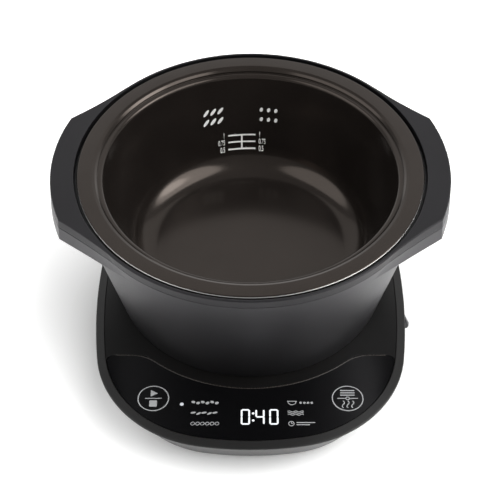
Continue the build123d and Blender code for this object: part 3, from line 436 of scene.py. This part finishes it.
def spunPiece(corners, turns, centre=(0, 0, 0)):
    points = softOutline(corners, spinning["cornerSteps"])
    outline = [Vector(centre) + Vector((p.x * mm, 0, p.y * mm)) for p in points]
    deselectAll()
    bpy.ops.mesh.primitive_plane_add(size=mm, location=outline[0])
    spun = bpy.context.object
    applyPlace(spun)
    editStart()
    bpy.ops.mesh.merge(type="CENTER")  # one point, drawn out along the outline
    for here, there in zip(outline, outline[1:]):
        bpy.ops.mesh.extrude_region_move(TRANSFORM_OT_translate={"value": there - here})
    bpy.ops.mesh.select_all(action="SELECT")
    bpy.ops.mesh.spin(steps=turns, angle=2 * pi, center=centre, axis=(0, 0, 1))
    bpy.ops.mesh.select_all(action="SELECT")
    bpy.ops.mesh.remove_doubles(threshold=spinning["weld"] * mm)
    bpy.ops.mesh.normals_make_consistent(inside=False)
    editEnd()
    bpy.ops.object.shade_smooth_by_angle(angle=radians(spinning["smooth"]))
    return spun


# inner pot, turned smooth: floor and wall, lid ledge, flange, then the underside back to the axis

potShape = {"turns": 240, "corners": (
    (0, 66.5, 0), (71.8, 66.5, 18.5), (85.21, 3.0, 2.6),
    (88.35, 3.0, 0.25), (88.3, 1.8, 0.35), (89.65, 0.65, 0.9),
    (91.3, 0, 0.9), (100, 0, 1.3), (100, 2.2, 0.8), (90.5, 2.2, 0.8),
    (90.35, 5.0, 0.8), (86.83, 5.0, 0.8), (73.21, 69.5, 20.5), (0, 69.5, 0))}


def innerPot(look):
    pot = spunPiece(look["corners"], look["turns"], (0, potY, flangeTop))
    settle(pot, "pot_body", "pot", finishes["pot_coat"])
    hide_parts("inner_pot")


# the flange's outer rim is worn bare at the front: a thin band, set forward so that it sinks into the coat behind
flangeRim = {"middle": (98.7, 1.3), "radius": 1.3, "tilts": (49, 30), "steps": 6, "proud": -0.01, "sunk": 0.12,
             "forward": 0.05}


def bareFlangeRim(look):
    (middleR, middleDrop), (high, low) = look["middle"], look["tilts"]
    tilts = [radians(high + (low - high) * i / look["steps"]) for i in range(look["steps"] + 1)]
    outer, inner = [[(middleR + radius * cos(tilt), middleDrop - radius * sin(tilt), 0) for tilt in tilts]
                    for radius in (look["radius"] + look["proud"], look["radius"] - look["sunk"])]
    centre = (0, potY - look["forward"] * mm, flangeTop)
    rim = spunPiece(outer + inner[::-1] + outer[:1], potShape["turns"], centre)
    settle(rim, "flange_bare_rim", "pot", finishes["liner_aluminium"])


innerPot(potShape)
bareFlangeRim(flangeRim)
print("pot turned")


# screws with domed heads and cross recesses, in place of the plain ones

screwSets = {
    "handle_screws": {"body": "housing", "head": (2.5, 1.8), "shank": (1.4, 11.1),
                      "places": [(x, y, 112.0) for x in (-107.194, 107.194) for y in (-20.836, 20.836)]},
    "cover_screws": {"body": "base", "head": (3.0, 2.2), "shank": (1.6, 17.5),
                     "places": [(side * x, y, 8.5) for x, y in ((71.895, -57.3), (71.895, 20.7), (36.0, 69.995))
                                for side in (-1, 1)]},
    "heater_screws": {"body": "base", "head": (3.6, 2.6), "shank": (1.6, 13.1),
                      "places": [(0, 49.0, 7.5), (-42.435, -24.5, 7.5), (42.435, -24.5, 7.5)]},
    "inlet_screws": {"body": "base", "head": (2.7, 1.8), "shank": (1.5, 8.0), "tilt": 90,
                     "places": [(-20.0, 96.495, 17.0), (20.0, 96.495, 17.0)]},
}
# the recess is in shares of the head's radius and height, and each next screw stops further round
screwCross = {"sides": 40, "dome": 0.6, "armTurns": (20, 110), "armLength": 1.15, "armWidth": 0.26, "armDepth": 1.1,
              "nextTurn": 37}


def crossScrew(cross, headRadius, headHeight, shankRadius, length):
    screw = spunPiece(((0, 0, 0), (headRadius, 0, headHeight * cross["dome"]), (headRadius, -headHeight, 0),
                       (shankRadius, -headHeight, 0), (shankRadius, -headHeight - length, 0),
                       (0, -headHeight - length, 0)), cross["sides"])
    for turn in cross["armTurns"]:
        deselectAll()
        bpy.ops.mesh.primitive_cube_add(size=1)
        arm = bpy.context.object
        arm.scale = (headRadius * cross["armLength"] * mm, headRadius * cross["armWidth"] * mm,
                     headHeight * cross["armDepth"] * mm)
        arm.rotation_euler.z = radians(turn)
        applyPlace(arm)
        applyModifier(screw, "BOOLEAN", operation="DIFFERENCE", object=arm)
        bpy.data.objects.remove(arm)
    return screw


def screwSet(name, look, cross):
    screws = [crossScrew(cross, *look["head"], *look["shank"])]
    while len(screws) < len(look["places"]):
        screws.append(screws[0].copy())
        screws[-1].data = screws[0].data.copy()
        scene.collection.objects.link(screws[-1])
    tilt = look.get("tilt", 0)
    for i, (screw, (x, y, z)) in enumerate(zip(screws, look["places"])):
        screw.rotation_euler = (radians(tilt), 0, 0 if tilt else radians(cross["nextTurn"] * i))
        screw.location = (x * mm, potY + y * mm, z * mm)
    piece = settle(joinAll(screws), name + "_set", look["body"], finishes["screw_steel"])
    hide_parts(name)


for setName, screwLook in screwSets.items():
    screwSet(setName, screwLook, screwCross)
print("screws set:", len(screwSets))


# sensor spring: a wound wire, drawn at one length

sensorCoil = {"wire": 0.6, "wireSides": 14, "radius": 8.5, "turns": 6, "turnSteps": 48, "smooth": 40,
              "low": 33.15, "high": 49.85, "floor": 32.5, "travel": 3.0}


def sensorSpring(look):
    deselectAll()
    bpy.ops.mesh.primitive_circle_add(vertices=look["wireSides"], radius=look["wire"] * mm,
                                      rotation=(radians(90), 0, 0))
    coil = bpy.context.object
    coil.location.x = look["radius"] * mm
    applyPlace(coil)
    pitch = (look["high"] - look["low"]) / look["turns"] * mm
    applyModifier(coil, "SCREW", angle=2 * pi, screw_offset=pitch, iterations=look["turns"],
                  steps=look["turnSteps"], render_steps=look["turnSteps"])
    editStart()
    bpy.ops.mesh.select_all(action="DESELECT")
    bpy.ops.mesh.select_non_manifold()
    bpy.ops.mesh.fill_holes(sides=look["wireSides"])  # both wire ends
    bpy.ops.mesh.select_all(action="SELECT")
    bpy.ops.mesh.normals_make_consistent(inside=False)
    editEnd()
    bpy.ops.object.shade_smooth_by_angle(angle=radians(look["smooth"]))
    coil.location = (0, potY, look["low"] * mm)
    settle(coil, "sensor_coil", "base", finishes["screw_steel"])
    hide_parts("sensor_spring")
    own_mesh(coil)


sensorSpring(sensorCoil)
print("spring wound")


# flat shapes for prints, drawn at their place in millimetres from the pot's axis

inkLay = {"thickness": 0.05, "sunk": 0.01, "discSides": 64, "cornerSteps": 3, "lineRounding": 2, "curveSteps": 24}


def inkDisc(x, y, radius, stretch=1.0, turn=0.0, stroke=0.0):
    deselectAll()
    bpy.ops.mesh.primitive_circle_add(vertices=inkLay["discSides"], radius=radius * mm, fill_type="NGON")
    disc = bpy.context.object
    disc.scale.x = stretch
    applyPlace(disc)
    if stroke:
        editStart()
        bpy.ops.mesh.inset(thickness=stroke * mm)
        bpy.ops.mesh.delete(type="FACE")  # the middle goes, a ring is left
        editEnd()
    disc.rotation_euler.z = radians(turn)
    disc.location = (x * mm, y * mm, 0)
    return disc


def softCorners(corner, steps):
    editStart()
    bpy.ops.mesh.bevel(offset=corner * mm, affect="VERTICES", segments=steps)
    editEnd()


def inkBar(x, y, width, depth, corner, turn=0.0, steps=inkLay["cornerSteps"]):
    deselectAll()
    bpy.ops.mesh.primitive_plane_add(size=1)
    bar = bpy.context.object
    bar.scale = (width * mm, depth * mm, 1)
    applyPlace(bar)
    softCorners(corner, steps)
    bar.rotation_euler.z = radians(turn)
    bar.location = (x * mm, y * mm, 0)
    return bar


def inkTriangle(x, y, size, corner):
    deselectAll()
    bpy.ops.mesh.primitive_circle_add(vertices=3, radius=size * mm, fill_type="NGON")
    triangle = bpy.context.object
    triangle.rotation_euler.z = radians(-90)  # points to the right
    applyPlace(triangle)
    softCorners(corner, inkLay["cornerSteps"])
    triangle.location = (x * mm, y * mm, 0)
    return triangle


def inkLine(points, width, thickness=inkLay["thickness"]):
    # a drawn line: a round stroke along a curve, made a mesh and pressed to its thickness
    line = bpy.data.curves.new("inkLine", "CURVE")
    line.dimensions = "3D"
    run = line.splines.new("POLY")
    run.points.add(len(points) - 1)
    for point, (x, y) in zip(run.points, points):
        point.co = (x * mm, y * mm, 0, 1)
    line.bevel_depth = width * mm / 2
    line.bevel_resolution = inkLay["lineRounding"]
    line.use_fill_caps = True
    stroke = bpy.data.objects.new("inkLine", line)
    scene.collection.objects.link(stroke)
    onlySelect(stroke)
    bpy.ops.object.convert(target="MESH")
    stroke = bpy.context.object
    stroke.scale.z = thickness / width
    stroke.location.z = thickness * mm / 2
    applyPlace(stroke)
    return stroke


def arcPoints(x, y, radius, start, end, steps=inkLay["curveSteps"]):
    turns = [radians(start + (end - start) * i / steps) for i in range(steps + 1)]
    return [(x + radius * cos(turn), y + radius * sin(turn)) for turn in turns]


def wavePoints(x, y, width, height, waves, steps=inkLay["curveSteps"]):
    return [(x + width * (i / steps - 0.5), y + height / 2 * sin(2 * pi * waves * i / steps))
            for i in range(steps + 1)]


def layOnPanel(shapes, name, finish, thickness=inkLay["thickness"]):
    # the flat shapes get the ink's thickness, drawn lines have it already, and both lie a touch into the panel's face
    lines = [shape for shape in shapes if shape.name.startswith("inkLine")]
    ink = joinAll([shape for shape in shapes if shape not in lines])
    applyModifier(ink, "SOLIDIFY", thickness=thickness * mm, offset=1.0)
    ink = joinAll([ink] + lines)
    ink.location = (0, potY, panelTop - inkLay["sunk"] * mm)
    settle(ink, name, "base", finish)


# touch buttons: a ring each, with a dividing line and plain signs; dx and dy are from a ring's middle

touchPrint = {
    "x": 55.9, "y": -97.0, "radius": 9.1, "stroke": 0.62, "line": 0.55, "corner": 0.2,
    "divider": 9.6, "eyeDivider": 12.0, "eye": 1.3,
    "arrow": {"dx": -0.3, "dy": 3.6, "size": 2.7, "corner": 0.324},
    "stop": {"dy": -3.7, "size": 4.4, "corner": 0.5},
    "list": {"rows": 3, "dy": 2.3, "pitch": 1.65, "length": 8.4, "width": 0.75, "corner": 0.3},
    "steam": {"columns": (-1, 0, 1), "dy": -4.3, "pitch": 2.7, "length": 5.0, "swing": 1.3, "line": 0.66},
}


def touchRings(look):
    y, line, corner, eye = look["y"], look["line"], look["corner"], look["eye"]
    arrow, stop, lines, steam = look["arrow"], look["stop"], look["list"], look["steam"]
    shapes = [inkDisc(side * look["x"], y, look["radius"], stroke=look["stroke"]) for side in (-1, 1)]
    x = -look["x"]
    shapes.append(inkBar(x, y, look["divider"], line, corner))
    shapes.append(inkTriangle(x + arrow["dx"], y + arrow["dy"], arrow["size"], arrow["corner"]))
    shapes.append(inkBar(x, y + stop["dy"], stop["size"], stop["size"], stop["corner"]))
    x = look["x"]
    arm = look["eyeDivider"] / 2 - eye
    for side in (-1, 1):
        shapes.append(inkBar(x + side * (eye + arm / 2), y, arm, line, corner))
    shapes.append(inkDisc(x, y, eye, stroke=line))
    for row in range(lines["rows"]):
        shapes.append(inkBar(x, y + lines["dy"] + lines["pitch"] * row, lines["length"], lines["width"],
                             lines["corner"]))
    for column in steam["columns"]:
        wave = inkLine(wavePoints(0, 0, steam["length"], steam["swing"], 1), steam["line"])
        wave.rotation_euler.z = radians(90)
        wave.location = ((x + steam["pitch"] * column) * mm, (y + steam["dy"]) * mm, 0)
        shapes.append(wave)
    layOnPanel(shapes, "touch_rings", printFinish)


# menu: six pictograms in two columns; dx and dy are from the start of a sign's row

menuPrint = {
    "rows": (-100.0, -107.5, -114.9), "leftX": -34.0, "rightX": 21.2, "line": 0.5,
    "shortGrains": {"count": 6, "dx": 1.2, "pitch": 2.7, "sway": 0.35, "radius": 0.85, "stretch": 1.35,
                    "tilts": (-15, 25)},
    "longGrains": {"count": 5, "dx": 1.3, "pitch": 3.1, "sway": 0.3, "radius": 0.62, "stretch": 2.5,
                   "tilts": (12, 28)},
    "wholeGrains": {"count": 6, "dx": 1.2, "pitch": 2.75, "sway": 0.0, "radius": 1.15, "stretch": 1.15,
                    "tilts": (35, 35), "stroke": 0.36},
    "bowl": {"dx": 2.6, "dy": 0.7, "radius": 2.3, "brimDy": 0.9, "brim": 5.6, "corner": 0.15},
    "drops": {"count": 4, "dx": 7.6, "dy": -0.2, "pitch": 2.1, "radius": 0.75},
    "steam": {"levels": (-1, 0, 1), "dx": 4.6, "pitch": 1.15, "length": 9.0, "swing": 0.75, "waves": 2.5,
              "steps": 40},
    "clock": {"dx": 2.0, "radius": 1.75, "stroke": 0.42, "corner": 0.1,
              "hands": ((0, 0.55, 0.42, 1.3), (0.5, 0, 1.2, 0.42))},
    "lines": {"width": 0.6, "corner": 0.2, "bars": ((10.2, 0.75, 10.6), (8.7, -0.75, 7.6))},
}


def grainRow(look, x, y):
    return [inkDisc(x + look["dx"] + look["pitch"] * i, y + look["sway"] * (-1) ** i, look["radius"],
                    look["stretch"], look["tilts"][i % 2], look.get("stroke", 0.0)) for i in range(look["count"])]


def menuSigns(look):
    left, right, line = look["leftX"], look["rightX"], look["line"]
    first, second, third = look["rows"]
    shapes = grainRow(look["shortGrains"], left, first) + grainRow(look["longGrains"], left, second)
    shapes += grainRow(look["wholeGrains"], left, third)
    bowl, drops, steam, clock, lines = [look[key] for key in ("bowl", "drops", "steam", "clock", "lines")]
    x = right + bowl["dx"]
    shapes.append(inkLine(arcPoints(x, first + bowl["dy"], bowl["radius"], 180, 360), line))
    shapes.append(inkBar(x, first + bowl["brimDy"], bowl["brim"], line, bowl["corner"]))
    for i in range(drops["count"]):
        shapes.append(inkDisc(right + drops["dx"] + drops["pitch"] * i, first + drops["dy"], drops["radius"]))
    for level in steam["levels"]:
        shapes.append(inkLine(wavePoints(right + steam["dx"], second + steam["pitch"] * level, steam["length"],
                                         steam["swing"], steam["waves"], steam["steps"]), line))
    x = right + clock["dx"]
    shapes.append(inkDisc(x, third, clock["radius"], stroke=clock["stroke"]))
    for dx, dy, width, depth in clock["hands"]:
        shapes.append(inkBar(x + dx, third + dy, width, depth, clock["corner"]))
    for dx, dy, length in lines["bars"]:
        shapes.append(inkBar(right + dx, third + dy, length, lines["width"], lines["corner"]))
    layOnPanel(shapes, "menu_signs", printFinish)


# clock: seven-stroke digits that shine through the panel, each stroke with pointed ends

clockFace = {"y": -110.2, "height": 10.9, "width": 5.3, "stroke": 1.0, "gap": 0.2, "overlap": 0.55, "point": 0.49,
             "colonX": 1.5, "colon": 0.75, "thickness": 0.04, "digits": (("0", -2.9), ("4", 5.4), ("0", 13.3))}
litStrokes = {"0": "abcdef", "4": "bcfg"}


def clockDigits(look):
    shapes = []
    y, stroke = look["y"], look["stroke"]
    reach = (look["width"] - stroke) / 2
    rise = (look["height"] - stroke) / 4
    flat, tall = 2 * (reach - look["gap"]), 2 * (rise - look["gap"])
    places = {"a": (0, 2 * rise, flat, 0), "g": (0, 0, flat, 0), "d": (0, -2 * rise, flat, 0),
              "f": (-reach, rise, tall, 90), "b": (reach, rise, tall, 90),
              "e": (-reach, -rise, tall, 90), "c": (reach, -rise, tall, 90)}
    for digit, x in look["digits"]:
        for key in litStrokes[digit]:
            dx, dy, length, turn = places[key]
            shapes.append(inkBar(x + dx, y + dy, length + look["overlap"] * stroke, stroke, look["point"] * stroke,
                                 turn, steps=1))
    for side in (-1, 1):
        shapes.append(inkDisc(look["colonX"], y + side * rise, look["colon"]))
    layOnPanel(shapes, "clock_digits", finishes["display_lit"], look["thickness"])


menuLamp = {"x": -39.4, "y": -101.2, "radius": 1.1}


def menuLampDot(look):
    dot = inkDisc(look["x"], look["y"], look["radius"])
    layOnPanel([dot], "menu_lamp", finishes["lamp_lit"])


# thin raised line between the deck and the panel, along the panel's rear edge, in a lighter brown that paints the
# highlight of the deck's edge

panelTrim = {"arcRadius": 89.75, "rearY": -65.1, "endX": 79.5, "corner": 9.0, "cornerSteps": 8, "arcSteps": 40,
             "width": 0.75, "height": 0.16}


def panelTrimLine(look):
    arcRadius, rearY, corner = look["arcRadius"], look["rearY"], look["corner"]
    arcTurn = degrees(asin(-rearY / arcRadius))
    arcStart = 180 + arcTurn + degrees(corner / arcRadius)
    cornerX = -arcRadius * cos(radians(arcTurn))
    arc = arcPoints(0, 0, arcRadius, arcStart, 270, look["arcSteps"])
    points = [(-look["endX"], rearY)]
    for i in range(look["cornerSteps"] + 1):  # soft corner between the straight edge and the arc
        t = i / look["cornerSteps"]
        shares = ((1 - t) ** 2, 2 * t * (1 - t), t ** 2)
        bend = ((cornerX - corner, rearY), (cornerX, rearY), arc[0])
        points.append(tuple(sum(share * point[axis] for share, point in zip(shares, bend)) for axis in (0, 1)))
    points += arc[1:]
    points += [(-x, y) for x, y in reversed(points[:-1])]
    line = inkLine(points, look["width"], 2 * look["height"])
    line.location = (0, potY, panelTop - look["height"] * mm)
    settle(line, "panel_trim_line", "base", trimHighlightFinish)


# level scale inside the pot: ticks on both sides of a line, with plain numbers, under two groups of grains

potWall = {"topRadius": 85.21, "topDrop": 3.0, "taper": 0.2112, "floorDrop": 66.5, "cove": 18.5, "clear": 0.07}
levelScale = {
    "middleX": -5.55, "rows": (-43.9, -48.7, -53.7), "tick": 8.7, "stroke": 1.05, "barCorner": 0.2,
    "tickCorner": 0.25, "bendLevels": 3, "thickness": 0.05,
    "numbers": ("1", "0.75", "0.5"), "textSize": 5.1, "textGap": 2.0, "textSqueeze": 0.52, "textBold": 0.1,
    "textWeld": 0.01,
    "grains": {"radius": 1.0, "pitch": 4.6, "rowPitch": 6.7, "count": 6, "columns": 3,
               "groups": ({"place": (-23.7, -25.5), "stretch": 2.6, "tilt": 50},
                          {"place": (11.4, -26.1), "stretch": 1.5, "tilt": 70})},
}


def potFace(wall, drop):
    # radius and lean of the pot's inner face: a straight taper, then the cove
    lean = atan(wall["taper"])
    coveDrop = wall["floorDrop"] - wall["cove"]
    radius = wall["topRadius"] - (drop - wall["topDrop"]) * wall["taper"]
    if drop < coveDrop + wall["cove"] * sin(lean):
        return radius, lean
    coveRadius = wall["topRadius"] - (coveDrop - wall["topDrop"]) * wall["taper"] - wall["cove"] / cos(lean)
    lean = asin((drop - coveDrop) / wall["cove"])
    return coveRadius + wall["cove"] * cos(lean), lean


def wrapOnPotWall(piece, wall):
    # a flat drawing, with heights measured down from the flange, is bent on to the back of the pot's wall
    for corner in piece.data.vertices:
        along, drop, out = corner.co.x, corner.co.y, corner.co.z + wall["clear"] * mm
        radius, lean = potFace(wall, -drop / mm)
        reach = radius * mm - out * cos(lean)
        turn = along / (radius * mm)
        corner.co = (reach * sin(turn), potY + reach * cos(turn), flangeTop + drop + out * sin(lean))


def scaleNumber(look, words, x, y, side):
    deselectAll()
    bpy.ops.object.text_add()
    number = bpy.context.object
    number.data.body = words
    number.data.size = look["textSize"] * mm
    number.data.align_x = "LEFT" if side > 0 else "RIGHT"
    number.data.align_y = "CENTER"
    number.data.offset = look["textBold"] * mm
    bpy.ops.object.convert(target="MESH")
    number = bpy.context.object
    editStart()
    bpy.ops.mesh.remove_doubles(threshold=look["textWeld"] * mm)
    bpy.ops.mesh.dissolve_degenerate(threshold=look["textWeld"] * mm)
    editEnd()
    number.scale.x = look["textSqueeze"]
    number.location = (x * mm, y * mm, 0)
    return number


def potLevelScale(look):
    x, stroke, grains = look["middleX"], look["stroke"], look["grains"]
    top, bottom = look["rows"][0], look["rows"][-1]
    bars = [inkBar(x, (top + bottom) / 2, stroke, top - bottom + stroke / 2, look["barCorner"])]
    signs = []
    for row, words in zip(look["rows"], look["numbers"]):
        bars.append(inkBar(x, row, 2 * look["tick"], stroke, look["tickCorner"]))
        for side in (-1, 1):
            signs.append(scaleNumber(look, words, x + side * (look["tick"] + look["textGap"]), row, side))
    for group in grains["groups"]:  # long grains, short grains
        for i in range(grains["count"]):
            across = grains["pitch"] * (i % grains["columns"] - 1)
            down = grains["rowPitch"] * (i // grains["columns"])
            signs.append(inkDisc(group["place"][0] + across, group["place"][1] - down, grains["radius"],
                                 group["stretch"], group["tilt"]))
    ruled = joinAll(bars)
    applyModifier(ruled, "SUBSURF", subdivision_type="SIMPLE", levels=look["bendLevels"],
                  render_levels=look["bendLevels"])  # so that they bend
    scale = joinAll([ruled] + signs)
    applyModifier(scale, "SOLIDIFY", thickness=look["thickness"] * mm, offset=1.0)
    wrapOnPotWall(scale, potWall)
    settle(scale, "level_scale", "pot", scaleFinish)


touchRings(touchPrint)
menuSigns(menuPrint)
clockDigits(clockFace)
menuLampDot(menuLamp)
panelTrimLine(panelTrim)
potLevelScale(levelScale)
print("prints laid")


# camera and studio

photoView = {"place": (0, potY - 0.59591, flangeTop + 0.56399), "lookAt": (0, potY - 0.06541, flangeTop),
             "lens": 102.48, "shiftX": -0.001, "farEnd": 50}

studio = {
    "lights": {
        "keyLight": {"place": (1.15, -0.05, 1.12), "size": (0.6, 0.65), "power": 4.5},
        "rightPanel": {"place": (1.1, -0.25, 1.4), "size": (1.7, 1.45), "power": 24.0},
        "leftPanel": {"place": (-1.1, -0.2, 1.35), "size": (1.7, 1.45), "power": 11.0},
        "backPanel": {"place": (0, 1.9, 1.2), "size": (5.0, 2.6), "power": 18.5},
        "topBounce": {"place": (0.95, -0.95, 2.35), "size": (1.7, 1.7), "power": 29.0, "mirrored": False},
    },
    "aimAt": (0, -0.02, 0.08),
    # the floor glows more away from the part, so that its shadow fades early
    "floor": {"size": 8.0, "colour": (0.86, 0.86, 0.855), "rough": 0.8, "gloss": 0.2, "glow": (0.0, 0.42),
              "glowSpan": (0.10, 0.15), "glowCentre": (0, 0.008, 0), "glowStretch": (1, 1.15, 0)},
    "sky": {"glow": (1.0, 0.38), "span": (0.08, 0.32)},  # from the horizon upwards
}


def aimed(place, target):
    return (Vector(target) - Vector(place)).to_track_quat("-Z", "Y").to_euler()


def addCamera(view):
    deselectAll()
    bpy.ops.object.camera_add(location=view["place"], rotation=aimed(view["place"], view["lookAt"]))
    camera = bpy.context.object
    camera.name = "photoCamera"
    camera.data.lens = view["lens"]
    camera.data.shift_x = view["shiftX"]
    camera.data.clip_end = view["farEnd"]
    scene.camera = camera


def addLight(name, light, target):
    deselectAll()
    bpy.ops.object.light_add(type="AREA", location=light["place"], rotation=aimed(light["place"], target))
    lamp = bpy.context.object
    lamp.name = name
    lamp.data.shape = "ELLIPSE"
    lamp.data.size, lamp.data.size_y = light["size"]
    lamp.data.energy = light["power"]
    lamp.visible_glossy = light.get("mirrored", True)


def addFloor(look):
    deselectAll()
    bpy.ops.mesh.primitive_plane_add(size=look["size"], location=(0, 0, 0))
    floor = bpy.context.object
    floor.name = "floor"
    finish, tree, shader = startFinish("floor_look")
    reach = addNode(tree, "ShaderNodeVectorMath", operation="LENGTH")
    tree.links.new(objectSpace(tree, look["glowStretch"], look["glowCentre"]), reach.inputs[0])
    glow = addRange(tree, reach.outputs["Value"], look["glow"], look["glowSpan"])
    tree.links.new(glow, shader.inputs["Emission Strength"])
    setShader(shader, {"Base Color": (*look["colour"], 1), "Roughness": look["rough"],
                       "Specular IOR Level": look["gloss"], "Emission Color": (1, 1, 1, 1)})
    floor.data.materials.append(finish)


def addSky(look):
    sky = bpy.data.worlds.new("studioSky")
    sky.use_nodes = True
    tree = sky.node_tree
    height = addNode(tree, "ShaderNodeSeparateXYZ")
    tree.links.new(addNode(tree, "ShaderNodeTexCoord").outputs["Generated"], height.inputs["Vector"])
    glow = addRange(tree, height.outputs["Z"], look["glow"], look["span"])
    tree.links.new(glow, tree.nodes["Background"].inputs["Strength"])
    tree.nodes["Background"].inputs["Color"].default_value = (1, 1, 1, 1)
    scene.world = sky


addCamera(photoView)
for lightName, light in studio["lights"].items():
    addLight(lightName, light, studio["aimAt"])
addFloor(studio["floor"])
addSky(studio["sky"])
scene.view_settings.view_transform = "Standard"
print("camera and studio set")
